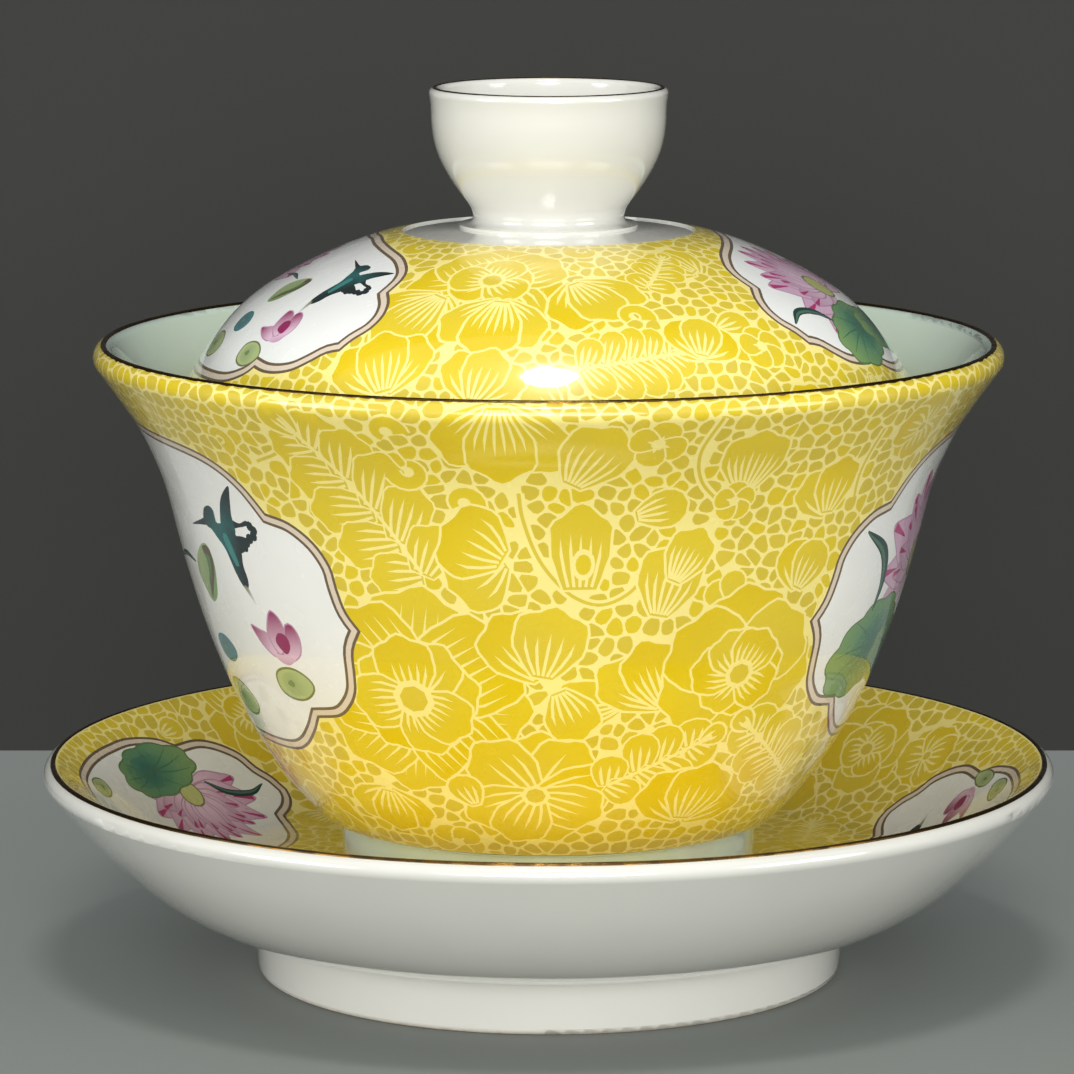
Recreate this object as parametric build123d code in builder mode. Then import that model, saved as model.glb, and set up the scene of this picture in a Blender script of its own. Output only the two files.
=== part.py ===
from build123d import *
import os

# A porcelain gaiwan: a lidded tea bowl on its saucer, standing level, assembled and empty.
# Three loose pieces stack on one axis: the saucer, the bowl in the saucer's well, and the lid that drops
# inside the flared mouth of the bowl. The lid's hollow knob was turned apart and stuck on with slip.
# The yellow enamel and the gilding are layers of their own, fired onto the white bodies.
# Frame: +Z up, origin at the centre of the saucer's foot, on the table. Millimetres.
# Each outline is drawn once, as (radius, height), and turned about the Z axis.

# ---- saucer ----
saucer_radius = 56.9  # outermost, at the lip
saucer_height = 24.1  # table to the top of the lip
saucer_lip = 1.15  # radius of the rounded lip
saucer_flare = 40.0  # degrees from upright, at the lip
saucer_wall = 2.9
saucer_foot_radius = 33.4  # of the foot ring, where it meets the dish
saucer_foot_height = 5.7  # table to where the ring meets the dish
saucer_foot_taper = 0.5  # the ring draws in this much towards the table
saucer_foot_wall = 3.2
saucer_foot_round = 0.8
saucer_recess = 5.0  # depth of the hollow under the dish, inside the foot ring
saucer_floor = 3.9  # thickness of the dish above that hollow, in the well
well_depth = 1.3
well_clearance = 1.1  # between the bowl's foot and the wall of the well
well_slope = 1.0  # how far the wall of the well leans out

# ---- bowl ----
bowl_radius = 50.55  # outermost, at the lip
bowl_height = 62.4  # its own foot to the top of its lip
bowl_lip = 1.2
bowl_flare = 35.0
bowl_wall = 2.7
bowl_foot_radius = 23.4
bowl_foot_height = 8.6
bowl_foot_taper = 0.3
bowl_foot_wall = 3.0
bowl_foot_round = 0.6
bowl_recess = 4.6
bowl_floor = 4.4

# ---- lid ----
seat_below_rim = 9.1  # where the lid rests on the flare, under the top of the bowl's lip
seat_clearance = 0.3
lid_edge = 1.1  # radius of its rounded edge
lid_flare = -20.0  # the dome leans in at its edge
lid_rise = 21.4  # centre of the edge to the flat crown
lid_wall = 2.6

# ---- knob ----
knob_radius = 13.3
knob_height = 15.45
knob_lip = 0.62
knob_flare = 12.0
knob_base_radius = 10.0
knob_base_edge = 0.3
knob_neck_radius = 8.45
knob_neck_height = 1.1
knob_wall = 1.5
knob_floor = 4.4  # solid clay under the hollow of the knob
knob_hollow_radius = 6.4  # where the hollow's wall starts to rise

# ---- layers fired onto the bodies ----
enamel = 0.25
enamel_from_lip = 1.0  # bare glaze between the middle of a gilded edge and the enamel
enamel_from_foot = 1.8
enamel_from_knob = 6.3
enamel_from_well = 0.3
gilt = 0.1
gilt_reach = 35.0  # degrees that the gilding comes down each side of a lip
foot_line_width = 0.5
outline_points = 16  # points that carry the outline of each layer


def lip(centre, radius, flare):
    """Where a rounded lip meets the outer wall, its tip, where it meets the inner wall, and the wall's rise."""
    rise = Vector(0, 1).rotate(Axis.Z, -flare)
    out = Vector(1, 0).rotate(Axis.Z, -flare)
    return centre + out * radius, centre + rise * radius, centre - out * radius, rise


def between(start, end, shares):
    """Points of an outline, as shares of its way across and of its way up from start to end."""
    return [
        Vector(start.X + across * (end.X - start.X), start.Y + up * (end.Y - start.Y))
        for across, up in shares
    ]


def beside(outline, distance, start, end, count):
    """Points at a distance to the left of an outline, evenly spaced from one share of its length to another."""
    places = [start + (end - start) * step / (count - 1) for step in range(count)]
    return [(outline @ place) + (outline % place).rotate(Axis.Z, 90) * distance for place in places]


def share_at_height(outline, height):
    """The share of a rising outline's length at which it reaches a height."""
    low, high = 0.0, 1.0
    for _ in range(40):
        middle = (low + high) / 2
        if (outline @ middle).Y < height:
            low = middle
        else:
            high = middle
    return low


# ---- outlines of the saucer ----
saucer_lip_centre = Vector(saucer_radius - saucer_lip, saucer_height - saucer_lip)
saucer_out, saucer_tip, saucer_in, saucer_rise = lip(saucer_lip_centre, saucer_lip, saucer_flare)
saucer_foot_top = Vector(saucer_foot_radius, saucer_foot_height)
saucer_outside = Spline(
    saucer_foot_top,
    *between(saucer_foot_top, saucer_out, [(0.32, 0.14), (0.54, 0.33), (0.75, 0.6)]),
    saucer_out,
    tangents=[(3.2, 1), saucer_rise],
)
well_floor = saucer_recess + saucer_floor
well_radius = bowl_foot_radius + well_clearance
well_rim = Vector(well_radius + well_slope, well_floor + well_depth)
saucer_inside = Spline(
    well_rim,
    *beside(saucer_outside, saucer_wall, 0.4, 0.86, 3),
    saucer_in,
    tangents=[(1, 0.06), saucer_rise],
)

# ---- outlines of the bowl, which stands on the floor of the well ----
bowl_foot_top = Vector(bowl_foot_radius, well_floor + bowl_foot_height)
bowl_lip_centre = Vector(bowl_radius - bowl_lip, well_floor + bowl_height - bowl_lip)
bowl_out, bowl_tip, bowl_in, bowl_rise = lip(bowl_lip_centre, bowl_lip, bowl_flare)
bowl_outside = Spline(
    bowl_foot_top,
    *between(
        bowl_foot_top,
        bowl_out,
        [(0.134, 0.047), (0.255, 0.125), (0.495, 0.356), (0.679, 0.665), (0.744, 0.78), (0.853, 0.896)],
    ),
    bowl_out,
    tangents=[(4, 1), bowl_rise],
)
bowl_inside = Spline(
    Vector(0, well_floor + bowl_recess + bowl_floor),
    *beside(bowl_outside, bowl_wall, 0.2, 0.9, 6),
    bowl_in,
    tangents=[(1, 0), bowl_rise],
)

# ---- outlines of the lid, whose edge rests inside the flare of the bowl ----
seat = share_at_height(bowl_inside, well_floor + bowl_height - seat_below_rim)
seat_normal = (bowl_inside % seat).rotate(Axis.Z, 90)
lid_edge_centre = (bowl_inside @ seat) + seat_normal * (lid_edge + seat_clearance)
lid_out, _, lid_in, lid_edge_rise = lip(lid_edge_centre, lid_edge, lid_flare)
lid_edge_bottom = lid_edge_centre - lid_edge_rise * lid_edge
crown_height = lid_edge_centre.Y + lid_rise
crown = Vector(knob_base_radius, crown_height)
lid_outside = Spline(
    lid_out,
    *between(lid_out, crown, [(0.065, 0.2), (0.262, 0.59), (0.414, 0.744), (0.744, 0.95)]),
    crown,
    tangents=[lid_edge_rise, (-1, 0.12)],
)
lid_inside = Spline(
    lid_in,
    *beside(lid_outside, lid_wall, 0.15, 0.85, 4),
    Vector(0, crown_height - lid_wall),
    tangents=[lid_edge_rise, (-1, 0)],
)

# ---- outlines of the knob, which stands on the crown ----
knob_base = Vector(knob_base_radius, crown_height + knob_base_edge)
knob_neck = Vector(knob_neck_radius, crown_height + knob_neck_height)
knob_lip_centre = Vector(knob_radius - knob_lip, crown_height + knob_height - knob_lip)
knob_out, knob_tip, knob_in, knob_rise = lip(knob_lip_centre, knob_lip, knob_flare)
knob_foot = Spline(knob_base, knob_neck, tangents=[(-1, 0.2), (0, 1)])
knob_outside = Spline(
    knob_neck,
    *between(knob_neck, knob_out, [(0.17, 0.138), (0.59, 0.356), (0.86, 0.575), (0.955, 0.82)]),
    knob_out,
    tangents=[(0, 1), knob_rise],
)
knob_inside = Spline(
    Vector(knob_hollow_radius, crown_height + knob_floor),
    *beside(knob_outside, knob_wall, 0.45, 0.9, 3),
    knob_in,
    tangents=[(1, 0), knob_rise],
)

# ---- saucer ----
saucer_foot_bottom = saucer_foot_radius - saucer_foot_taper
with BuildPart() as saucer:
    with BuildSketch(Plane.XZ):
        with BuildLine():
            add(saucer_outside)
            ThreePointArc(saucer_out, saucer_tip, saucer_in)
            add(saucer_inside)
            Polyline(
                well_rim,
                (well_radius, well_floor),
                (0, well_floor),
                (0, saucer_recess),
                (saucer_foot_bottom - saucer_foot_wall, saucer_recess),
                (saucer_foot_bottom - saucer_foot_wall, 0),
                (saucer_foot_bottom, 0),
                saucer_foot_top,
            )
        make_face()
    revolve(axis=Axis.Z)
    fillet(saucer.edges().group_by(Axis.Z)[0], saucer_foot_round)

# ---- bowl ----
bowl_foot_bottom = bowl_foot_radius - bowl_foot_taper
with BuildPart() as bowl:
    with BuildSketch(Plane.XZ):
        with BuildLine():
            add(bowl_outside)
            ThreePointArc(bowl_out, bowl_tip, bowl_in)
            add(bowl_inside)
            Polyline(
                bowl_inside @ 0,
                (0, well_floor + bowl_recess),
                (bowl_foot_bottom - bowl_foot_wall, well_floor + bowl_recess),
                (bowl_foot_bottom - bowl_foot_wall, well_floor),
                (bowl_foot_bottom, well_floor),
                bowl_foot_top,
            )
        make_face()
    revolve(axis=Axis.Z)
    fillet(bowl.edges().group_by(Axis.Z)[0], bowl_foot_round)

# ---- lid, with a flat crown for the knob ----
with BuildPart() as lid:
    with BuildSketch(Plane.XZ):
        with BuildLine():
            ThreePointArc(lid_in, lid_edge_bottom, lid_out)
            add(lid_outside)
            Polyline(crown, (0, crown_height), (0, crown_height - lid_wall))
            add(lid_inside)
        make_face()
    revolve(axis=Axis.Z)

# ---- knob: a small hollow cup on a neck, which is also the foot that the upturned lid stands on ----
with BuildPart() as lid_knob:
    with BuildSketch(Plane.XZ):
        with BuildLine():
            Polyline((0, crown_height + knob_floor), (0, crown_height), crown, knob_base)
            add(knob_foot)
            add(knob_outside)
            ThreePointArc(knob_out, knob_tip, knob_in)
            add(knob_inside)
            Line(knob_inside @ 0, (0, crown_height + knob_floor))
        make_face()
    revolve(axis=Axis.Z)


def layer(outline, start, end, side, thickness, body):
    """A layer on one side of a body's wall: a strip that straddles its outline, less the body."""
    with BuildPart() as strip:
        with BuildSketch(Plane.XZ):
            with BuildLine():
                face = Spline(*beside(outline, side * thickness, start, end, outline_points))
                buried = Spline(*beside(outline, -side * thickness, start, end, outline_points))
                Line(face @ 0, buried @ 0)
                Line(face @ 1, buried @ 1)
            make_face()
        revolve(axis=Axis.Z)
        add(body.part, mode=Mode.SUBTRACT)
    return strip


def gilt_edge(centre, radius, top, body):
    """A film of gold over the top of a rounded lip, less the body."""
    reach = Vector(0, top * (radius + gilt)).rotate(Axis.Z, gilt_reach)
    with BuildPart() as film:
        with BuildSketch(Plane.XZ):
            with BuildLine():
                left = centre + reach
                right = centre + Vector(-reach.X, reach.Y)
                ThreePointArc(left, centre + Vector(0, top * (radius + gilt)), right)
                Polyline(left, centre, right)
            make_face()
        revolve(axis=Axis.Z)
        add(body.part, mode=Mode.SUBTRACT)
    return film


# ---- enamel: the saucer's dish, the bowl's outside and the dome of the lid ----
line_start = enamel_from_foot / bowl_outside.length
line_end = (enamel_from_foot + foot_line_width) / bowl_outside.length
saucer_enamel = layer(
    saucer_inside,
    enamel_from_well / saucer_inside.length,
    1 - enamel_from_lip / saucer_inside.length,
    1,
    enamel,
    saucer,
)
bowl_enamel = layer(bowl_outside, line_end, 1 - enamel_from_lip / bowl_outside.length, -1, enamel, bowl)
lid_enamel = layer(
    lid_outside,
    enamel_from_lip / lid_outside.length,
    1 - enamel_from_knob / lid_outside.length,
    -1,
    enamel,
    lid,
)

# ---- gilding: the four lips, and the line round the bowl above its foot ----
saucer_gilt_rim = gilt_edge(saucer_lip_centre, saucer_lip, 1, saucer)
bowl_gilt_rim = gilt_edge(bowl_lip_centre, bowl_lip, 1, bowl)
lid_gilt_rim = gilt_edge(lid_edge_centre, lid_edge, -1, lid)
knob_gilt_rim = gilt_edge(knob_lip_centre, knob_lip, 1, lid_knob)
bowl_foot_line = layer(bowl_outside, line_start, line_end, -1, gilt, bowl)

nodes = {
    "saucer": saucer,
    "saucer_enamel": saucer_enamel,
    "saucer_gilt_rim": saucer_gilt_rim,
    "bowl": bowl,
    "bowl_enamel": bowl_enamel,
    "bowl_gilt_rim": bowl_gilt_rim,
    "bowl_foot_line": bowl_foot_line,
    "lid": lid,
    "lid_enamel": lid_enamel,
    "lid_gilt_rim": lid_gilt_rim,
    "lid_knob": lid_knob,
    "knob_gilt_rim": knob_gilt_rim,
}
os.makedirs("parts", exist_ok=True)
for name, node in nodes.items():
    node.part.label = name
    export_step(node.part, f"parts/{name}.step")
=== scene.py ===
"""A porcelain gaiwan: white glaze, yellow enamel painted all over with flowers, and gilt lines.

The three enamel layers are painted skins. Each is drawn flat, in an unrolled plane where x is the angle
round the axis and y grows with distance along the outline over radius, so that nothing is sheared,
and is then wound onto the turned outline that it was measured from.
"""

import math
import random

import bpy
import numpy as np
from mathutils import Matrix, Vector
from mathutils.geometry import delaunay_2d_cdt


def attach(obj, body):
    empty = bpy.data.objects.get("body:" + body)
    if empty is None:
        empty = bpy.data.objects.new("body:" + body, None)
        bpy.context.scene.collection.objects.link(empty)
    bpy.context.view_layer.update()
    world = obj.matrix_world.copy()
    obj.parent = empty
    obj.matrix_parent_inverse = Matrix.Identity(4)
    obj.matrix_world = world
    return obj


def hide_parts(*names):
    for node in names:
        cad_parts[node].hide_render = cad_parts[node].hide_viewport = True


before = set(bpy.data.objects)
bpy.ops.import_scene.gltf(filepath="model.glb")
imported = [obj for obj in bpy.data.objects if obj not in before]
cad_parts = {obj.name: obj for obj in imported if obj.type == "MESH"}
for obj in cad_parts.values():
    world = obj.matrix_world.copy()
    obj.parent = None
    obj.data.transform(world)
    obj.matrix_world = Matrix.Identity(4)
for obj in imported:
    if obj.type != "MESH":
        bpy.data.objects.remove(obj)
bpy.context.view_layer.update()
rng = random.Random(11)
TAU = 2 * math.pi


def srgb(*values):
    """A colour from screen values of 0 to 255."""
    return np.array([((v / 255 + 0.055) / 1.055) ** 2.4 if v > 10 else v / 3295 for v in values])


YELLOW = srgb(230, 202, 36)
CELL = srgb(224, 198, 58)
DEEP = srgb(228, 196, 8)
PALE = srgb(254, 236, 142)
WHITE = srgb(243, 242, 236)
BLUSH = srgb(226, 208, 186)
BROWN = srgb(110, 92, 68)
PINK = srgb(208, 160, 188)
ROSE = srgb(230, 194, 212)
MAGENTA = srgb(150, 40, 92)
LEAF = srgb(126, 158, 96)
MOSS = srgb(92, 124, 74)
TEAL = srgb(28, 104, 98)
OLIVE = srgb(118, 122, 74)
PAD = srgb(176, 192, 132)
SLATE = srgb(78, 128, 132)
PLUME = srgb(36, 96, 94)
INK = srgb(30, 42, 44)
BARK = srgb(98, 80, 60)
DARKLEAF = srgb(30, 62, 58)


# ---------- flat geometry, as complex numbers ----------
def curve(points, step, closed=False):
    """A smooth line through points, with a point about every step."""
    p = np.asarray(points, complex)
    if closed:
        p = np.concatenate([p[-1:], p, p[:2]])
    else:
        p = np.concatenate([[2 * p[0] - p[1]], p, [2 * p[-1] - p[-2]]])
    out = []
    for a, b, c, d in zip(p, p[1:], p[2:], p[3:]):
        count = max(1, round(abs(c - b) / step))
        t = np.arange(count) / count
        out.append(
            0.5 * (2 * b + (c - a) * t + (2 * a - 5 * b + 4 * c - d) * t**2 + (3 * b - a - 3 * c + d) * t**3)
        )
    if not closed:
        out.append(p[-2:-1])
    return np.concatenate(out)


def ring(radius, count):
    """Points round a circle."""
    return radius * np.exp(1j * np.arange(count) * TAU / count)


def sides(line):
    """The unit vector to the left of a line at each of its points."""
    run = np.gradient(line)
    return 1j * run / np.maximum(abs(run), 1e-12)


def ribbon(line, width):
    """The outline of a stroke along a line. The width may change along it."""
    reach = sides(line) * np.asarray(width) / 2
    return np.concatenate([line + reach, (line - reach)[::-1]])


def swell(outline, distance):
    """A closed outline, run anticlockwise or clockwise, moved outwards."""
    ahead, behind = np.roll(outline, -1) - outline, outline - np.roll(outline, 1)
    normal = -1j * (ahead / np.maximum(abs(ahead), 1e-9) + behind / np.maximum(abs(behind), 1e-9))
    area = (outline.conj() * np.roll(outline, -1)).imag.sum()
    return outline + math.copysign(1, area) * distance * normal / np.maximum(abs(normal), 0.9)


def meet(one, two):
    """One line cut short where another first crosses it, and the other from there, or a mitre between them."""
    for i in range(len(one) - 1, max(0, len(one) - 14), -1):
        for j in range(min(len(two) - 1, 14)):
            a, b, c, d = one[i - 1], one[i], two[j], two[j + 1]
            cross = ((b - a).conj() * (d - c)).imag
            if abs(cross) < 1e-15:
                continue
            t = ((c - a).conj() * (d - c)).imag / cross
            u = ((c - a).conj() * (b - a)).imag / cross
            if 0 <= t <= 1 and 0 <= u <= 1:
                point = a + t * (b - a)
                return np.append(one[:i], point), np.insert(two[j + 1 :], 0, point)
    a, c = one[-1], two[0]
    p, q = one[-1] - one[-2], two[0] - two[1]
    cross = (p.conj() * q).imag
    point = a + p * ((c - a).conj() * q).imag / cross if abs(cross) > 1e-15 else (a + c) / 2
    return np.append(one, point), np.insert(two, 0, point)


def inside(points, outline):
    """Which points lie inside an outline, counting a full turn as no distance."""
    points = points - TAU * np.round((points.real - outline.real.mean()) / TAU)
    hit = (
        (points.real > outline.real.min())
        & (points.real < outline.real.max())
        & (points.imag > outline.imag.min())
        & (points.imag < outline.imag.max())
    )
    some = points[hit][:, None]
    if some.size:
        a, b = outline, np.roll(outline, -1)
        spans = (a.imag > some.imag) != (b.imag > some.imag)
        rise = np.where(b.imag == a.imag, 1.0, b.imag - a.imag)
        x = a.real + (some.imag - a.imag) * (b.real - a.real) / rise
        hit[hit] = (spans & (some.real < x)).sum(1) % 2 == 1
    return hit


def even(outline, longest):
    """A closed outline with points added where its sides are long."""
    out = []
    for a, b in zip(outline, np.roll(outline, -1)):
        count = max(1, math.ceil(abs(b - a) / longest))
        out.append(a + (b - a) * np.arange(count) / count)
    return np.concatenate(out)


def clipped(outline, low, high):
    """A closed outline cut to what lies between two heights."""
    for limit, sign in ((low, 1), (high, -1)):
        kept = []
        for a, b in zip(outline, np.roll(outline, -1)):
            a_in, b_in = sign * (a.imag - limit) >= 0, sign * (b.imag - limit) >= 0
            if a_in:
                kept.append(a)
            if a_in != b_in:
                kept.append(a + (b - a) * (limit - a.imag) / (b.imag - a.imag))
        outline = np.array(kept, complex)
        if len(outline) < 3:
            return outline
    return outline


# ---------- a painted skin ----------
NEAR = 1e-7  # metres within which a point lies on the plane that the sections are read in


def outlines(node, facing):
    """The two long sides of a turned layer's section, from low to high, the seen one first."""
    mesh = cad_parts[node].data
    at = {}
    for v in mesh.vertices:
        if abs(v.co.y) < NEAR and v.co.x > 0:
            at[v.index] = (round(v.co.x, 7), round(v.co.z, 7))
    near = {p: set() for p in at.values()}
    for e in mesh.edges:
        a, b = (at.get(i) for i in e.vertices)
        if a and b and a != b:
            near[a].add(b)
            near[b].add(a)
    start = min(near)
    loop = [start, sorted(near[start])[0]]
    while loop[-1] != start:
        loop.append(next(q for q in sorted(near[loop[-1]]) if q != loop[-2]))
    loop = np.array(loop[:-1])
    way = np.roll(loop, -1, 0) - loop
    turn = np.angle(np.exp(1j * (np.arctan2(*way.T) - np.roll(np.arctan2(*way.T), 1))))
    corners = sorted(np.argsort(-abs(turn))[:4])
    runs = []
    for a, b in zip(corners, corners[1:] + [corners[0] + len(loop)]):
        run = loop[np.arange(a, b + 1) % len(loop)]
        runs.append(run if run[0][1] < run[-1][1] else run[::-1])
    runs.sort(key=lambda r: -np.hypot(*np.diff(r, axis=0).T).sum())
    return sorted(runs[:2], key=lambda r: -((r[0] + r[-1]) @ facing))


GILT = 0.1  # how thick a gilt film is, in millimetres
PAST_TOP = 0.1  # how far the paint goes on past the top of a lip, in radians
# the radius of each rounded lip in millimetres, below zero where the lip hangs down
LIPS = {"saucer_gilt_rim": 1.15, "bowl_gilt_rim": 1.2, "lid_gilt_rim": -1.1, "knob_gilt_rim": 0.62}


def lip(node):
    """The centre and radius of the rounded lip under a gilt film, and 1 if it stands up or -1 if it hangs."""
    radius = LIPS[node]
    way = math.copysign(1, radius)
    film = [v.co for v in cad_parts[node].data.vertices if abs(v.co.y) < NEAR and v.co.x > 0]
    tip = max(film, key=lambda co: co.z * way)
    return np.array([tip.x, tip.z - way * (abs(radius) + GILT) / 1000]), abs(radius) / 1000, way


def over_lip(line, centre, radius):
    """The way on from an outline, straight to a rounded lip and over it to its top."""
    end, way = line[-1], line[-1] - line[-2]
    way = way / np.hypot(*way)
    along = (centre - end) @ way
    touch = end + way * along - centre
    start = math.atan2(touch[1], touch[0])
    turns = np.linspace(start, math.pi / 2 + math.copysign(PAST_TOP, start - math.pi / 2), 50)
    reach = np.linspace(np.hypot(*touch), radius, len(turns))
    straight = end + np.outer(np.linspace(0, along, 20)[1:-1], way)
    return np.vstack([straight, centre + np.stack([reach * np.cos(turns), reach * np.sin(turns)], 1)])


STRAY, STRAY_UP = 0.36, 0.34  # how far a cobble strays along its row and out of it, as a share of its size
CELL_ROW = 0.88  # the height of a row of cobbles as a share of their size
CELL_GAP = 0.2  # half the pale gap between cobbles, in millimetres


class Skin:
    """A turned layer that can be painted. Angles are in degrees from the front, distances in millimetres."""

    RING = 240  # points round each edge
    EDGE = 0.004  # unrolled height kept clear of paint at each edge
    FINE = 5e-5  # metres from one point of the outline to the next
    SOFT = 25  # points on each side that a point of the outline is averaged with
    LIFT, SINK = 0.00016, 0.00015  # metres that the layer's two sides lie above and below a lip's surface
    SIDE, LIP_SIDE = 0.08, 0.012  # the longest side of a painted shape, and the longest over the lip
    GRID = 1.9  # millimetres between the points that carry the surface's bend
    ROW, LIP_ROW = 0.87, 0.25  # the height of a row of those points as a share of that, and over the lip
    BACK_ROWS = 22  # rows of points down the hidden side
    STRIPE_POINTS = 9  # shapes with fewer points than this are stripes
    STRIPE_SHARE = 0.55  # the share of a stripe's points that hides it when they are covered

    def __init__(self, node, facing, upward, begins, gilt=None):
        """A layer's CAD node, the way that its seen side faces, 1 if its pictures stand up or -1 if they
        point inwards, the distance that its outline begins at, and the gilt film that it runs on to."""
        self.node, self.upward = node, upward
        seen, self.back = outlines(node, facing)
        along = np.r_[0, np.cumsum(np.hypot(*np.diff(seen, axis=0).T))]
        count = int(along[-1] / self.FINE)
        at = np.linspace(0, along[-1], count)
        line = np.stack([np.interp(at, along, seen[:, 0]), np.interp(at, along, seen[:, 1])], 1)
        half, window = self.SOFT, 2 * self.SOFT + 1
        padded = np.vstack([2 * line[0] - line[half:0:-1], line, 2 * line[-1] - line[-2 : -half - 2 : -1]])
        sums = np.vstack([[0, 0], np.cumsum(padded, 0)])
        line = (sums[window:] - sums[:-window]) / window
        flank = len(line) - 1
        if gilt:
            centre, round_edge, _ = lip(gilt)
            line = np.vstack([line, over_lip(line, centre, round_edge + self.LIFT)])
            self.back = np.vstack([self.back, over_lip(self.back, centre, round_edge - self.SINK)])
        self.radius, self.height = line.T
        step = np.hypot(*np.diff(line, axis=0).T)
        self.s = begins + np.r_[0, np.cumsum(step)] * 1000
        self.w = np.r_[0, np.cumsum(step * 2 / (self.radius[1:] + self.radius[:-1]))]
        self.top, self.flank = self.w[-1], self.w[flank]
        tangent = np.gradient(line, axis=0)
        tangent /= np.hypot(*tangent.T)[:, None]
        normal = np.stack([tangent[:, 1], -tangent[:, 0]], 1)
        self.normal = normal * math.copysign(1, np.mean(normal, 0) @ facing)
        self.shapes, self.panels, self.covered, self.taken = [], [], [], []

    def spot(self, angle, s):
        """A place on the skin as a point of the unrolled plane."""
        return math.radians(angle) + 1j * np.interp(s, self.s, self.w)

    def line(self, points, step=0.6):
        """A smooth line through places given as angle and distance."""
        size = step / 1000 / float(np.interp(np.mean([p[1] for p in points]), self.s, self.radius))
        return curve([self.spot(*p) for p in points], size)

    def scale(self, w):
        """Unrolled units in a millimetre at an unrolled height."""
        return 0.001 / np.interp(w, self.w, self.radius)

    def paint(self, outline, shade):
        """Lay a shape over all that was painted before it."""
        outline = self.trim(outline)
        if len(outline) >= 3:
            self.shapes.append((outline, shade))

    def trim(self, outline):
        """An outline kept off both edges, with short sides where the surface bends over the lip."""
        outline = clipped(np.asarray(outline, complex), self.EDGE, self.top - self.EDGE)
        if len(outline) < 3:
            return outline
        return even(outline, self.LIP_SIDE if outline.imag.max() > self.flank else self.SIDE)

    def brush(self, angle, s, turn=0.0, size=1.0):
        """A brush held at a place, turned by degrees."""
        here = self.spot(angle, s)
        way = size * self.scale(here.imag) * np.exp(-1j * math.radians(turn) * self.upward)
        return Brush(self, here, way, self.upward < 0)

    def clear(self, here, reach):
        """Whether nothing placed so far comes within a reach in millimetres of a point."""
        unit = self.scale(here.imag)
        for other, other_reach in self.taken:
            apart = other - here
            apart = complex(math.remainder(apart.real, TAU), apart.imag)
            if abs(apart) < (reach + other_reach) * unit:
                return False
        return True

    def lift_hidden(self):
        """Leave out the shapes that later petals hide altogether, and stripes that they hide for the most part."""
        sizes = np.array([len(outline) for outline, _ in self.shapes])
        needed = np.where(sizes < self.STRIPE_POINTS, self.STRIPE_SHARE * sizes, sizes)
        starts = np.r_[0, np.cumsum(sizes)]
        points = np.concatenate([outline for outline, _ in self.shapes])
        hidden = np.zeros(len(self.shapes), bool)
        for after, cover in self.covered:
            limit = starts[after]
            if limit:
                counts = np.add.reduceat(inside(points[:limit], cover), starts[:after])
                hidden[:after] |= counts >= needed[:after]
        self.shapes = [shape for shape, out in zip(self.shapes, hidden) if not out]

    def cover(self, outline):
        """Say that everything painted so far is hidden inside an outline."""
        self.covered.append((len(self.shapes), outline))

    def cells(self, size):
        """Cobbles over all that the flowers and panels leave free."""
        beyond = 2 * size * self.scale(self.top)
        seeds, w, row = [], -beyond, 0
        while w < self.top + beyond:
            pitch = size * self.scale(w)
            count = round(TAU / pitch)
            for k in range(count):
                seeds.append(
                    complex(
                        (k + row % 2 / 2 + rng.uniform(-STRAY, STRAY)) * TAU / count,
                        w + rng.uniform(-STRAY_UP, STRAY_UP) * pitch,
                    )
                )
            w += pitch * CELL_ROW
            row += 1
        flat = np.exp(1j * np.conj(np.array(seeds)))
        verts, _, tris, *_ = delaunay_2d_cdt([Vector((p.real, p.imag)) for p in flat], [], [], 0, 1e-7, False)
        spots = np.array([complex(*v) for v in verts])
        around = [[] for _ in spots]
        for tri in tris:
            a, b, c = spots[list(tri)]
            b, c = b - a, c - a
            d = 2 * (b.conj() * c).imag
            centre = a + 1j * (b * abs(c) ** 2 - c * abs(b) ** 2) / d
            for i in tri:
                around[i].append(centre)
        plane = np.conj(np.log(spots) / 1j)
        hidden = np.zeros(len(plane), bool)
        for _, cover in self.covered:
            hidden |= inside(plane, cover)
        cobbles = []
        for spot, where, corners, out in zip(spots, plane, around, hidden):
            corners = np.array(corners)
            if out or len(corners) < 4:
                continue
            corners = corners[np.argsort(np.angle(corners - spot))]
            middle = corners.mean()
            unit = self.scale(where.imag) * abs(spot)
            gap = CELL_GAP * unit
            reach = np.abs(corners - middle)
            if reach.max() > 6 * size * unit:
                continue
            corners = middle + (corners - middle) * np.maximum(0.35, 1 - gap / reach)
            after = np.roll(corners, -1)
            rounded = np.stack([corners * 0.75 + after * 0.25, corners * 0.25 + after * 0.75], 1).ravel()
            tone = rng.uniform(0, 1)
            colour = CELL * (0.93 + 0.1 * tone) if tone < 0.75 else YELLOW * 0.98
            outline = self.trim(np.conj(np.log(rounded / spot) / 1j) + where)
            if len(outline) >= 3:
                cobbles.append((outline, colour))
        self.shapes = cobbles + self.shapes

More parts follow.
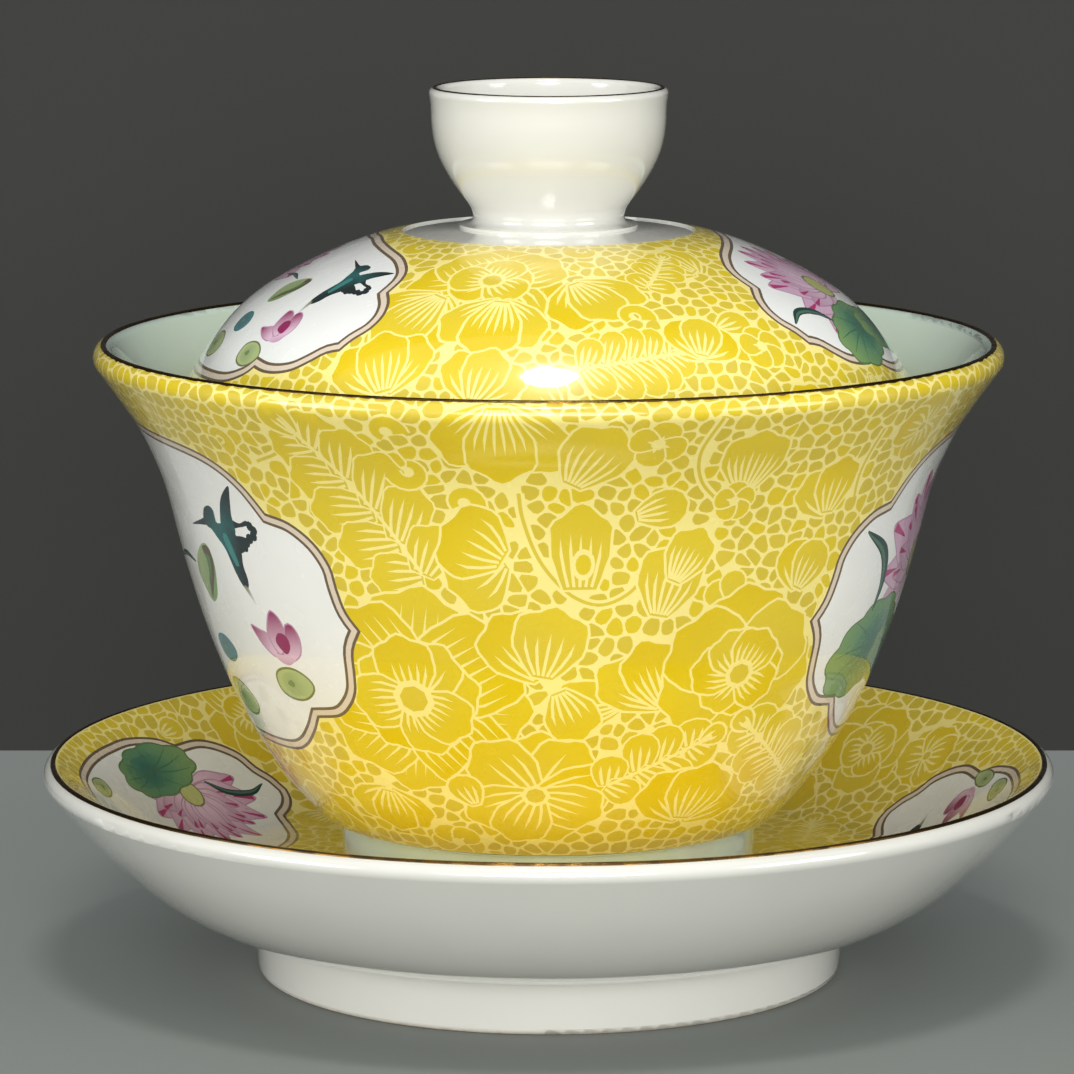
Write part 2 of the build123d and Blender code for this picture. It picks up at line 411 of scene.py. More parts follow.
    def flat_mesh(self):
        """The painting as points and triangles of a flat ring, and which shape each triangle belongs to."""
        edge = ring(1, self.RING)
        points = [edge * math.exp(self.top), edge]
        w, row = 0.4 * self.GRID * self.scale(0), 0
        while w < self.top - 0.3 * self.GRID * self.scale(self.top):
            pitch = self.GRID * self.scale(w)
            count = round(TAU / pitch)
            points.append(np.exp(w + 1j * (np.arange(count) + row % 2 / 2) * TAU / count))
            w += pitch * (self.ROW if w < self.flank else self.LIP_ROW)
            row += 1
        start = sum(len(p) for p in points)
        faces = [list(range(self.RING))]
        for outline, _ in self.shapes:
            flat = np.exp(1j * np.conj(outline))
            points.append(flat if (flat.conj() * np.roll(flat, -1)).imag.sum() > 0 else flat[::-1])
            faces.append(list(range(start, start + len(outline))))
            start += len(outline)
        faces.append(list(range(self.RING, 2 * self.RING)))
        flat = np.concatenate(points)
        verts, _, tris, _, _, owners = delaunay_2d_cdt(
            [Vector((p.real, p.imag)) for p in flat], [], faces, 0, 1e-5, True
        )
        verts = np.array([complex(*v) for v in verts])
        last = len(faces) - 1
        kept, top = [], []
        for tri, owner in zip(tris, owners):
            if owner and max(owner) < last:
                kept.append(tri)
                top.append(max(owner))
        kept, top = np.array(kept), np.array(top)
        used = np.unique(kept)
        where = np.full(len(verts), -1)
        where[used] = np.arange(len(used))
        return verts[used], where[kept], top

    def corner_colours(self, plane, kept, top, ground):
        """The colour of each corner, from the topmost shape there."""
        colours = np.zeros((len(kept), 3, 3))
        order = np.argsort(top, kind="stable")
        edges = np.searchsorted(top[order], np.arange(len(self.shapes) + 2))
        for k, shade in enumerate([ground, *(shade for _, shade in self.shapes)]):
            mine = order[edges[k] : edges[k + 1]]
            if len(mine):
                colours[mine] = shade(plane[kept[mine]]) if callable(shade) else shade
        return colours

    def build(self, name, material, body, ground):
        """Wind the painting onto the outline and close it with the hidden side of the layer."""
        verts, kept, top = self.flat_mesh()
        angle, height = np.angle(verts), np.clip(np.log(abs(verts)), 0, self.top)
        place, out = self.wind(angle, height)
        colours = self.corner_colours(angle + 1j * height, kept, top, ground)

        # the hidden side: rings of points down the back outline
        def rim(level):
            found = np.nonzero(abs(height - level) < 1e-5)[0]
            return found[np.argsort(angle[found])]

        low, high = rim(0), rim(self.top)
        along = np.r_[0, np.cumsum(np.hypot(*np.diff(self.back, axis=0).T))]
        rows = np.linspace(0, along[-1], self.BACK_ROWS)
        radius = np.interp(rows, along, self.back[:, 0])
        level = np.interp(rows, along, self.back[:, 1])
        turn = angle[low]
        across = np.outer(radius, np.sin(turn)), -np.outer(radius, np.cos(turn))
        behind = np.stack([*across, np.repeat(level[:, None], len(turn), 1)], -1)
        rings = [low, *(len(place) + np.arange(behind.size // 3).reshape(behind.shape[:2])), high]
        place = np.vstack([place, behind.reshape(-1, 3)])
        quads = np.vstack([np.stack([a, np.roll(a, -1), np.roll(b, -1), b], 1) for a, b in zip(rings, rings[1:])])

        # turn every face outwards
        def facing(f, other):
            return np.cross(place[f[:, 1]] - place[f[:, 0]], place[f[:, other]] - place[f[:, 0]])

        if (facing(kept, 2) * out[kept[:, 0]]).sum() < 0:
            kept, colours = kept[:, ::-1], colours[:, ::-1]
        one_ring = quads[8 * self.RING : 9 * self.RING]  # any ring of the hidden side away from its ends
        if (facing(one_ring, 2) * -out[low]).sum() < 0:
            quads = quads[:, ::-1]
        flat_normal = facing(quads, 3)
        flat_normal /= np.maximum(np.linalg.norm(flat_normal, axis=1), 1e-12)[:, None]

        mesh = bpy.data.meshes.new(name)
        mesh.from_pydata(place.tolist(), [], kept.tolist() + quads.tolist())
        mesh.polygons.foreach_set("use_smooth", [True] * len(mesh.polygons))
        paint = np.ones((len(mesh.loops), 4))
        paint[: colours.size // 3, :3] = colours.reshape(-1, 3)
        paint[colours.size // 3 :, :3] = WHITE
        mesh.color_attributes.new("paint", "FLOAT_COLOR", "CORNER").data.foreach_set("color", paint.ravel())
        normals = np.vstack([out[kept].reshape(-1, 3), np.repeat(flat_normal, 4, 0)])
        mesh.normals_split_custom_set(normals.tolist())
        mesh.materials.append(material)
        piece = bpy.data.objects.new(name, mesh)
        bpy.context.scene.collection.objects.link(piece)
        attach(piece, body)
        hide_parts(self.node)

    def wind(self, angle, w):
        """Places on the turned outline, and the way out of the surface there."""
        radius, height = np.interp(w, self.w, self.radius), np.interp(w, self.w, self.height)
        across, up = (np.interp(w, self.w, self.normal[:, i]) for i in (0, 1))
        place = np.stack([radius * np.sin(angle), -radius * np.cos(angle), height], -1)
        return place, np.stack([across * np.sin(angle), -across * np.cos(angle), up], -1)


class Brush:
    """Local millimetres laid on a skin as complex numbers: x along the ring, y up the outline."""

    def __init__(self, skin, origin, way, mirrored):
        self.skin, self.origin, self.way, self.mirrored = skin, origin, way, mirrored

    def put(self, z):
        """Local points on the unrolled plane."""
        z = np.asarray(z, complex)
        return self.origin + self.way * (z.conj() if self.mirrored else z)

    def find(self, p):
        """Points of the unrolled plane in local millimetres."""
        apart = p - self.origin
        z = ((apart.real + math.pi) % TAU - math.pi + 1j * apart.imag) / self.way
        return z.conj() if self.mirrored else z

    def at(self, x, y, turn=0.0):
        """The brush moved to a local point and turned by degrees."""
        way = np.exp(-1j * math.radians(turn))
        return Brush(self.skin, self.put(x + 1j * y), self.way * (way.conj() if self.mirrored else way), self.mirrored)

    def fill(self, outline, shade):
        """Paint an outline given in local points."""
        self.skin.paint(self.put(outline), shade)

    def blot(self, points, shade, step=0.5):
        """Fill a smooth outline through points."""
        self.fill(curve(points, step, True), shade)

    def ramp(self, start, end, first, second):
        """A colour that turns into another from one local point to the next."""

        def shade(p):
            t = ((self.find(p) - start) * np.conj(end - start)).real / abs(end - start) ** 2
            t = np.clip(t, 0, 1)[..., None]
            return first * (1 - t) + second * t

        return shade

    def pool(self, centre, reach, first, second):
        """A colour that turns into another outwards from a local point."""

        def shade(p):
            t = np.clip(abs(self.find(p) - centre) / reach, 0, 1)[..., None]
            return first * (1 - t) + second * t

        return shade

    def taper(self, points, width, shade):
        """A stroke that thins out towards its end."""
        line = curve(points, STROKE_STEP)
        self.fill(ribbon(line, width * np.linspace(1, 0.15, len(line))), shade)


# ---------- flowers of the yellow ground ----------
# how far up a petal or a stripe its points lie
PETAL_UP = np.array([0, 0.2, 0.42, 0.62, 0.79, 0.93, 1.0])
BROAD_UP = np.array([0, 0.13, 0.27, 0.4, 0.52, 0.63, 0.73, 0.82, 0.9, 0.96, 0.99, 1.0])
STRIPE_UP = np.array([0.0, 0.34, 0.67, 1.0])
BROAD = 5  # petals wider than this have a scalloped end
LINE = 0.34  # width of the pale lines
STROKE_STEP = 0.7  # millimetres between the points of a brush stroke


def petal(b, length, width, stripes=4, solid=0.3, base=0.28, halo=0.3, deep=False):
    """A round-ended petal with pale stripes running up from its base."""

    def half(v):
        cap = np.sqrt(1 - np.clip((v - 0.6) / 0.4, 0, 1) ** 2)
        return (base + (1 - base) * np.sin(np.minimum(v / 0.62, 1) * math.pi / 2)) * cap * width / 2

    rise = BROAD_UP if width > BROAD else PETAL_UP
    up = 1j * rise * length
    outline = np.concatenate([up - half(rise), (up + half(rise))[-2::-1]])
    if width > BROAD:
        heart = 0.5j * length
        turn = np.angle((outline - heart) / 1j)
        outline = heart + (outline - heart) * (1 + 0.075 * np.cos(7 * turn) * np.cos(turn / 2) ** 2)
    cover = swell(outline, halo)
    b.skin.cover(b.put(outline))
    b.fill(cover, PALE)
    shades = (0.25j * length, 1j * length, YELLOW, DEEP) if deep else (0, 1j * length, CELL, YELLOW)
    b.fill(outline, b.ramp(*shades))
    for k in range(stripes):
        u = (2 * (k + 1) / (stripes + 1) - 1) * 1.02
        v = 0.03 + STRIPE_UP * ((1 - solid) * (1 - 0.22 * u * u) * rng.uniform(0.92, 1.0) - 0.03)
        line = u * half(np.minimum(v, 0.62)) * (1 - 0.1 * np.maximum(v - 0.6, 0)) + 1j * v * length
        stripe = ribbon(line[:-1], LINE)
        b.fill(np.concatenate([stripe[:3], line[-1:], stripe[3:]]), PALE)


def bloom(b, radius, petals=7, rows=1, stripes=5, solid=0.3, spread=360.0, start=0.0, deep=0.35):
    """A flower of striped petals round a small heart."""
    for row in range(rows):
        reach = radius * (1 - 0.42 * row)
        width = 2 * reach * math.sin(math.radians(min(spread, 360) / petals / 2)) * 1.2
        for k in rng.sample(range(petals), petals):
            turn = start + spread * (k + 0.5 * (row % 2)) / petals + rng.uniform(-6, 6)
            petal(
                b.at(0, 0, turn),
                reach * rng.uniform(0.9, 1.08),
                width,
                max(2, stripes + rows - 1 - 2 * row),
                solid * rng.uniform(0.7, 1.4) * (0.45 if row < rows - 1 else 1),
                deep=rng.random() < deep,
            )
    heart = ring(radius * 0.13, 8)
    b.fill(heart * 1.5, PALE)
    b.fill(heart, CELL)


def feather(b, length, width, lobes=5, stripes=3, bend=0.0):
    """A leaf of striped lobes on both sides of a bent midrib, with its base at the start."""
    spine = curve([0, bend * 0.6 + 0.5j * length, bend + 1j * length], length / 10)
    for k in range(lobes - 1, -1, -1):
        share = (k + 0.25) / lobes
        foot = spine[int(share * (len(spine) - 1))]
        reach = width / 2 * (0.72 + 0.5 * math.sin(math.pi * min(1, share + 0.12)))
        for side in (-1, 1):
            petal(
                b.at(foot.real, foot.imag, side * rng.uniform(56, 66)),
                reach,
                length / lobes * 1.25,
                stripes,
                0.24,
                base=0.5,
                halo=0.22,
            )
    petal(b.at(spine[-2].real, spine[-2].imag, 0), width * 0.34, width * 0.3, 2, 0.3)
    b.fill(ribbon(spine, 0.42), PALE)


def fan(b, radius, lobes=3, stripes=4, spread=120.0, deep=0.4, solid=0.32):
    """Part of a flower: petals spread from one point."""
    order = sorted(range(lobes), key=lambda k: -abs(k - (lobes - 1) / 2))
    for k in order:
        turn = spread * ((k + 0.5) / lobes - 0.5)
        width = 2 * radius * math.sin(math.radians(spread / lobes / 2)) * 1.25
        petal(b.at(0, 0, turn), radius * rng.uniform(0.93, 1.05), width, stripes, solid, deep=rng.random() < deep)


def bud(b, height, width):
    """A tall bud: a striped sheath with an eye."""
    petal(b, height, width, 5, 0.3, base=0.55)
    eye = b.at(width * 0.05, height * 0.3)
    oval = ring(height * 0.2, 12)
    oval = oval.real * 0.7 + 1j * oval.imag
    eye.fill(oval * 0.95, PALE)
    eye.fill(oval * 0.62, YELLOW)


def curl(b, radius):
    """A curled bud: a thick hook with a pale edge."""
    angles = np.linspace(0.3, 4.6, 12)
    line = radius * (1 - 0.09 * angles) * np.exp(1j * (angles - 0.4)) * 0.72
    width = radius * (0.75 - 0.09 * angles)
    b.skin.cover(b.put(ribbon(line, width)))
    b.fill(ribbon(line, width + 0.6), PALE)
    b.fill(ribbon(line, width), YELLOW)


def floret(b, radius, petals=5):
    """A small flower of plain round petals."""
    for k in range(petals):
        petal(b.at(0, 0, 360 * k / petals), radius, radius * 1.02, 1, 0.55, halo=0.24)
    b.fill(ring(radius * 0.26, 7), PALE)


def trefoil(b, radius):
    """Three plain petals."""
    for turn in (-62, 62, 0):
        petal(b.at(0, 0, turn), radius, radius * 0.85, 0, halo=0.26)


def stem(skin, points, width=0.9):
    """A stalk: a yellow thread between two pale ones."""
    line = skin.line(points)
    unit = skin.scale(line.imag.mean())
    skin.cover(ribbon(line, width * unit))
    skin.paint(ribbon(line, (width + 0.25) * unit), PALE)
    skin.paint(ribbon(line, 0.38 * unit), CELL)


def arrange(skin, stalks, motifs, shift):
    """Lay a list of motifs on a skin, each as what draws it, angle, distance, turn, room it takes, and its sizes."""
    for points in stalks:
        stem(skin, [(angle + shift, s) for angle, s in points])
        for angle, s in points:
            skin.taken.append((skin.spot(angle + shift, s), 1.2))
    for draw, angle, s, turn, room, *sizes in motifs:
        draw(skin.brush(angle + shift, s, turn), *sizes)
        skin.taken.append((skin.spot(angle + shift, s), room))


# what is scattered at each size: what draws it, how far below its middle it starts, and its sizes,
# first those that are shares of the size and then the others
SOWN = {
    6.2: ((bloom, 0, (1.05,), (7, 2, 5)),),
    4.6: ((bloom, 0, (1,), (6, 1, 4)), (feather, 1, (1.9, 1.4), (4,)), (fan, 0.8, (1.7,), (3, 4, 110))),
    3.2: (
        (fan, 0.8, (1.6,), (2, 4, 80)),
        (petal, 1, (2, 1.6), (6,)),
        (floret, 0, (0.95,), (5,)),
        (trefoil, 0.5, (1,), ()),
    ),
    2.2: ((curl, 0, (1,), ()), (floret, 0, (0.95,), (4,)), (petal, 1, (1.9, 1.4), (3,))),
}


def sow(skin, tries, low, high):
    """Scatter smaller motifs over whatever room is left, the largest first."""
    for size, choices in SOWN.items():
        for _ in range(tries):
            angle, s = rng.uniform(0, 360), rng.uniform(low, high)
            here = skin.spot(angle, s)
            if not skin.clear(here, size):
                continue
            places = here + np.array([0, 1, -1, 1j, -1j]) * size * skin.scale(here.imag)
            if any(inside(places, cover).any() for cover in skin.panels):
                continue
            b = skin.brush(angle, s, rng.uniform(0, 360))
            skin.taken.append((here, size))
            draw, down, shares, others = choices[0] if len(choices) == 1 else rng.choice(choices)
            draw(b.at(0, -down * size), *[size * share for share in shares], *others)


# ---------- the white panels and their pictures ----------
PANEL_LINES = ((0.0, BROWN), (0.36, BLUSH), (1.0, BROWN), (1.36, WHITE))  # millimetres in from the edge


def panel(skin, centre, lobes):
    """A lobed reserve with a double outline. Each lobe is places as angle from the centre and distance."""
    runs = [skin.line([(centre + angle, s) for angle, s in lobe], 0.8) for lobe in lobes]
    for inset, colour in PANEL_LINES:
        moved = [run - sides(run) * inset * skin.scale(run.imag) * skin.upward for run in runs]
        for k in range(len(moved)):
            after = (k + 1) % len(moved)
            moved[k], moved[after] = meet(moved[k], moved[after])
        outline = np.concatenate([m[:-1] for m in moved])
        if inset == 0:
            skin.covered.append((0, outline))
            skin.panels.append(outline)
        skin.paint(outline, colour)


def both_sides(top, upper, lower, bottom):
    """A panel's lobes from its right half: the top lobe to its notch, two lobes round the point, the bottom lobe."""

    def mirror(run):
        return [(-angle, s) for angle, s in reversed(run)]

    return [mirror(top)[:-1] + top, upper, lower, bottom[:-1] + mirror(bottom), mirror(lower), mirror(upper)]


def kingfisher(b):
    """A kingfisher coming down with its wings spread: far wing, scalloped feathers, near wing, body, tail, head."""
    b.blot([2.2 + 2.6j, 3.6 + 2.4j, 4.9 + 2.9j, 5.6 + 2.7j, 4.6 + 2.2j, 3.4 + 1.9j, 2.2 + 1.7j], INK)
    places = (5.4 + 2.3j, 6 + 1.9j, 5.7 + 1.2j, 4.9 + 0.8j, 4.3 + 0.2j, 3.8 - 0.4j)
    for place, radius in zip(places, (0.62, 0.55, 0.6, 0.62, 0.5, 0.5)):
        b.fill(place + ring(radius, 8), INK)
    b.blot([2.2 + 0.6j, 3.6 + 0.9j, 4.8 + 0.6j, 4.2 - 0.4j, 3 - 1.1j, 2.2 - 1j], INK)
    b.blot(
        [-0.2 + 1.4j, 0.4 + 3.4j, 1.6 + 5.2j, 3.8 + 6.8j, 3.1 + 4.9j, 2.5 + 3.1j, 2.5 + 1.2j, 1.2 + 0.4j],
        b.ramp(0.4 + 1j, 2.8 + 5j, PLUME, INK),
    )
    back = [-3.3 + 1.5j, -1.6 + 1.6j, 0 + 1.9j, 2.2 + 1.2j, 2.9 - 0.4j, 2.6 - 2.6j, 2.9 - 4.2j, 2.6 - 5.3j]
    breast = [1.6 - 5.2j, 0.6 - 3.6j, -0.4 - 1.2j, -1.8 + 0.1j]
    b.blot(back + breast, b.ramp(-0.6 - 0.5j, 2.4 - 1.2j, PLUME, INK))
    b.blot([0.4 + 0.8j, 1.2 - 0.8j, 1.8 - 2.8j, 1.2 - 2.9j, 0.2 - 1.2j, -0.4 + 0.4j], srgb(58, 132, 126))
    b.blot([2.5 - 5.2j, 3.4 - 7.2j, 2.8 - 6.6j, 1.7 - 5.2j], b.ramp(2 - 5j, 3.3 - 7j, OLIVE, WHITE * 0.8))
    b.blot([-8 + 0.7j, -5.4 + 1.0j, -3.4 + 1.3j, -3.4 + 2.1j, -5.2 + 1.6j], INK)
    b.blot(
        [-4.2 + 1.6j, -3.4 + 3.1j, -1.9 + 3.7j, -1.1 + 3.2j, -1.2 + 2j, -0.4 + 1.4j, -1.8 + 0.9j, -3.4 + 1j],
        b.ramp(-3.4 + 3j, -1.4 + 1.2j, INK, PLUME),
    )


def lotus_bud(b):
    """A half-open lotus: three petals edged in pink round a dark heart."""
    petals = (
        ([-1.6 + 1.2j, -3.0 + 1.6j, -4.7 + 1.9j, -3.4 - 0.3j, -1.4 - 1.6j, -0.6 - 0.4j], -1.4 - 0.6j, -4.4 + 1.6j),
        ([-1.8 + 0.8j, -1.4 + 2.6j, -0.3 + 4.2j, 1.2 + 3.1j, 1.3 + 0.6j, -0.4 - 1.2j], 0.2 - 0.6j, -0.4 + 3.9j),
        ([0.8 + 0.6j, 1.6 + 2.8j, 2.8 + 2.9j, 3.6 + 1.4j, 3.1 - 0.7j, 1.2 - 1.9j, -0.2 - 1.6j], 2.4 - 1j, 1.8 + 2.6j),
    )
    for outline, base, tip in petals:
        shape = curve(outline, 0.5, True)
        b.fill(shape, PINK * 0.82)
        b.fill(swell(shape, -0.2), b.ramp(base, tip, ROSE, MAGENTA))
    b.blot([-0.6 + 0.4j, 0.2 + 1.6j, 1.4 + 1.4j, 1.7 + 0.2j, 0.7 - 0.9j], MAGENTA)
    b.blot([-1.6 - 1.2j, 0.4 - 1.1j, 2.2 - 1.1j, 0.9 - 2.2j, -0.5 - 2.1j], b.ramp(-1j, -2.2j, ROSE, PINK))


def pad(b, across, up, colour=PAD, edge=OLIVE):
    """A floating lily pad with a dark rim and a fold in the middle."""
    disc = ring(1, 26)
    disc = across * disc.real * (1 + 0.05 * np.cos(3 * np.angle(disc))) + 1j * up * disc.imag
    b.fill(disc, edge)
    b.fill(swell(disc, -0.28), colour)
    b.fill(disc * 0.72 + 0.08 * across, b.pool(-0.1 * across, across * 0.8, colour * 0.72, colour))
    left = -0.1 * across
    b.blot([-0.35 * across, left + 0.25j * up, 0.05 * across, left - 0.2j * up], LEAF * 0.75, 0.4)


def curled_leaf(b):
    """A young leaf rolled in on itself, brown inside."""
    b.blot(
        [-3 - 0.8j, -1.8 + 1.6j, 1 + 3.4j, 2.6 + 3.2j, 3.2 + 1j, 1.8 - 2.6j, -0.2 - 4j, -1.6 - 3.2j],
        b.ramp(-2 + 1j, 2 - 1j, PAD * 0.9, LEAF),
        0.6,
    )
    b.blot([0.6 + 2.9j, 2.7 + 3.1j, 2.9 + 0.8j, 1.2 - 1.8j, -0.4 - 3.6j, 0.4 - 1j, 1.6 + 0.8j], BARK)
    b.blot([1.2 + 2.2j, 2.2 + 2j, 1.9 + 0.4j, 0.6 - 1.4j, 1.2 + 0.8j], MOSS)


def lotus_leaf(b, across, up, seed=0):
    """A broad lotus leaf: soft lobes round a teal heart, with fine veins."""
    lobes = 9
    angles = np.linspace(0, TAU, 60, endpoint=False)
    wave = 1 + 0.1 * np.abs(np.sin(angles * lobes / 2 + seed)) - 0.1 + 0.07 * np.sin(2 * angles + seed)
    edge = across * wave * np.cos(angles) + 1j * up * wave * np.sin(angles)
    b.fill(edge, MOSS)
    b.fill(swell(edge, -0.25), b.pool(0.1 * across, across, srgb(60, 128, 104), LEAF * 1.04))
    heart = edge * 0.62 + 0.14 * across
    b.fill(heart, b.pool(0.16 * across, 0.7 * across, TEAL, srgb(104, 150, 100)))
    for k in range(lobes):
        turn = TAU * (k + 0.3 * math.sin(5 * k + seed)) / lobes
        tip = 0.86 * (across * math.cos(turn) + 1j * up * math.sin(turn))
        start = 0.12 * across
        b.taper([start, (start + tip) / 2 + 0.04 * across * 1j, tip], 0.34, srgb(66, 112, 84))


def lotus(b, radius, spread=200.0):
    """An open lotus: pointed petals, rosy at their tips and edges, round a green pod."""
    petals = 11
    order = sorted(range(petals), key=lambda k: -abs(k - (petals - 1) / 2))
    for row, share in ((0, 1.0), (1, 0.72)):
        for k in order:
            turn = spread * (k / (petals - 1) - 0.5) * (1 - 0.15 * row) + rng.uniform(-5, 5)
            reach = radius * share * rng.uniform(0.88, 1.06)
            p = b.at(0, 0, turn)
            broad = reach * 0.24
            left = [-broad * 0.35, -broad + 0.45j * reach, -broad * 0.5 + 0.82j * reach]
            right = [broad * 0.5 + 0.82j * reach, broad + 0.45j * reach, broad * 0.35]
            shape = curve([*left, 1j * reach, *right], 0.6, True)
            p.fill(shape, PINK * 0.8)
            p.fill(swell(shape, -0.2), p.ramp(0.35j * reach, 1j * reach, ROSE, PINK * (0.98 - 0.16 * row)))
            p.taper([0.96j * reach, 0.66j * reach], broad * 0.34, MAGENTA * 1.5)
            p.taper([0.15j * reach, (0.03 + 0.55j) * reach], 0.22, PINK * 0.85)
    pod = ring(radius * 0.17, 12)
    b.fill(pod * 1.15, OLIVE)
    b.fill(pod, srgb(196, 196, 120))


def blade(b, points, width):
    """A long dark leaf that tapers at both ends."""
    line = curve(points, STROKE_STEP)
    reach = width * np.sin(np.linspace(0.12, math.pi - 0.1, len(line))) ** 0.8
    b.fill(ribbon(line, reach), DARKLEAF)
    b.fill(ribbon(line + sides(line) * 0.14 * reach, reach * 0.34), srgb(74, 112, 92))


# ---------- materials ----------
class Wire:
    """A shader socket that can be added, multiplied and so on."""

    def __init__(self, graph, socket):
        self.graph, self.socket = graph, socket

    def math(self, operation, one, two):
        return self.graph.node("ShaderNodeMath", {0: one, 1: two}, operation=operation)

    def __add__(self, other):
        return self.math("ADD", self, other)

    def __rsub__(self, other):
        return self.math("SUBTRACT", other, self)

    def __mul__(self, other):
        return self.math("MULTIPLY", self, other)


def add_node(tree, kind, inputs=(), **settings):
    """A node in a tree. Each of its inputs is joined to a socket or given a value, or a colour of three numbers."""
    made = tree.nodes.new(kind)
    for key, value in settings.items():
        setattr(made, key, value)
    for key, value in dict(inputs).items():
        if isinstance(value, bpy.types.NodeSocket):
            tree.links.new(value, made.inputs[key])
        elif isinstance(value, np.ndarray):
            made.inputs[key].default_value = (*value.tolist(), 1.0)
        else:
            made.inputs[key].default_value = value
    return made


class Graph:
    """A material whose nodes are made and joined by one method."""

    def __init__(self, name):
        self.material = bpy.data.materials.new(name)
        self.material.use_nodes = True
        self.tree = self.material.node_tree
        self.tree.nodes.clear()

    def node(self, kind, inputs=(), output=0, **settings):
        """A node with its inputs, as the wire from one of its outputs."""
        inputs = {key: getattr(value, "socket", value) for key, value in dict(inputs).items()}
        return Wire(self, add_node(self.tree, kind, inputs, **settings).outputs[output])

    def mix(self, factor, one, two, blend="MIX"):
        """One colour turned into another by a factor."""
        return self.node(
            "ShaderNodeMix", {0: factor, 6: one, 7: two}, 2, data_type="RGBA", blend_type=blend, clamp_factor=True
        )

    def noise(self, scale, detail=2.0):
        """Noise through the body of the piece, in metres."""
        place = self.node("ShaderNodeTexCoord", output=3)
        return self.node("ShaderNodeTexNoise", {"Vector": place, "Scale": scale, "Detail": detail})

    def ramp(self, value, low, high, to_low=0.0, to_high=1.0):
        """A value carried smoothly from one range to another."""
        inputs = {0: value, 1: low, 2: high, 3: to_low, 4: to_high}
        return self.node("ShaderNodeMapRange", inputs, interpolation_type="SMOOTHSTEP")

    def wave(self, scale, height, strength):
        """A faint unevenness of the surface."""
        return self.node("ShaderNodeBump", {"Height": self.noise(scale, 1.0), "Distance": height, "Strength": strength})

    def finish(self, shader):
        """The material with a shader as its surface."""
        add_node(self.tree, "ShaderNodeOutputMaterial", {0: shader.socket})
        return self.material

    def finish_solid(self, **sockets):
        """The material with one shader, whose sockets are given by name."""
        inputs = {key.replace("_", " "): value for key, value in sockets.items()}
        return self.finish(self.node("ShaderNodeBsdfPrincipled", inputs))


def glaze(name, colour, foot):
    """Clear glaze over white clay, left bare where the foot ring stands."""
    g = Graph(name)
    height = g.node("ShaderNodeSeparateXYZ", {0: g.node("ShaderNodeTexCoord", output=3)}, 2)
    fired = g.ramp(height, foot + 0.00025, foot + 0.0006)
    cloud = g.ramp(g.noise(45.0), 0.35, 0.65)
    glazed = g.mix(cloud, colour * 0.965, colour)
    clay = g.mix(g.ramp(g.noise(900.0), 0.3, 0.7), srgb(206, 196, 178), srgb(224, 216, 200))
    wave = g.wave(130.0, 0.00012, 0.35)
    return g.finish_solid(
        Base_Color=g.mix(fired, clay, glazed),
        Roughness=g.ramp(fired + g.ramp(g.noise(220.0), 0.3, 0.7) * 0.06, 0.0, 1.0, 0.75, 0.13),
        Coat_Weight=fired,
        Coat_Roughness=0.04,
        IOR=1.5,
        Normal=wave,
    )


def enamel():
    """Painted enamel under a hard gloss, a little uneven in tone where it was brushed on."""
    g = Graph("Painted_enamel")
    paint = g.node("ShaderNodeVertexColor", layer_name="paint")
    tone = g.ramp(g.noise(70.0, 3.0), 0.3, 0.7, 0.94, 1.0)
    grey = g.node("ShaderNodeCombineColor", {0: tone, 1: tone, 2: tone})
    wave = g.wave(160.0, 0.0001, 0.3)
    return g.finish_solid(
        Base_Color=g.mix(1.0, paint, grey, "MULTIPLY"),
        Roughness=g.ramp(g.noise(300.0), 0.3, 0.7, 0.2, 0.3),
        Coat_Weight=1.0,
        Coat_Roughness=0.05,
        IOR=1.5,
        Normal=wave,
    )


def gilding():
    """Fired gold, its colour darkened all over as a painted dark reflection of dim surroundings, and darker still in
    random patches where the brush ran dry.
    """
    g = Graph("Gilding_worn_with_painted_dark_reflection")
    dry = g.ramp(g.noise(420.0, 3.0), 0.42, 0.62)
    return g.finish_solid(
        # both golds are kept dark as a painted reflection of dim surroundings; the noise between them is random tone
        Base_Color=g.mix(dry, srgb(132, 98, 46), srgb(84, 64, 38)),
        Metallic=1.0,
        Roughness=g.ramp(dry, 0.0, 1.0, 0.2, 0.36),
    )


# ---------- the bodies and the gilding ----------
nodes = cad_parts
white = glaze("White_glaze", srgb(222, 220, 210), 0.0)
# Painted shade and painted bounce light: the bowl's white glaze is darker and greener than the rest, standing in for
# the shade inside the bowl and the greenish light bounced into it
shaded_bowl_glaze = glaze("Bowl_glaze_with_painted_shade", srgb(206, 221, 206), 0.0089)
gold = gilding()
for node in nodes.values():
    node.data.materials.clear()
for name, material, slot in (
    ("saucer", white, "porcelain"),
    ("bowl", shaded_bowl_glaze, "porcelain"),
    ("lid", white, "porcelain"),
    ("lid_knob", white, "porcelain"),
    ("bowl_foot_line", gold, "gilding"),
):
    nodes[name].data.materials.append(material)

painted = enamel()


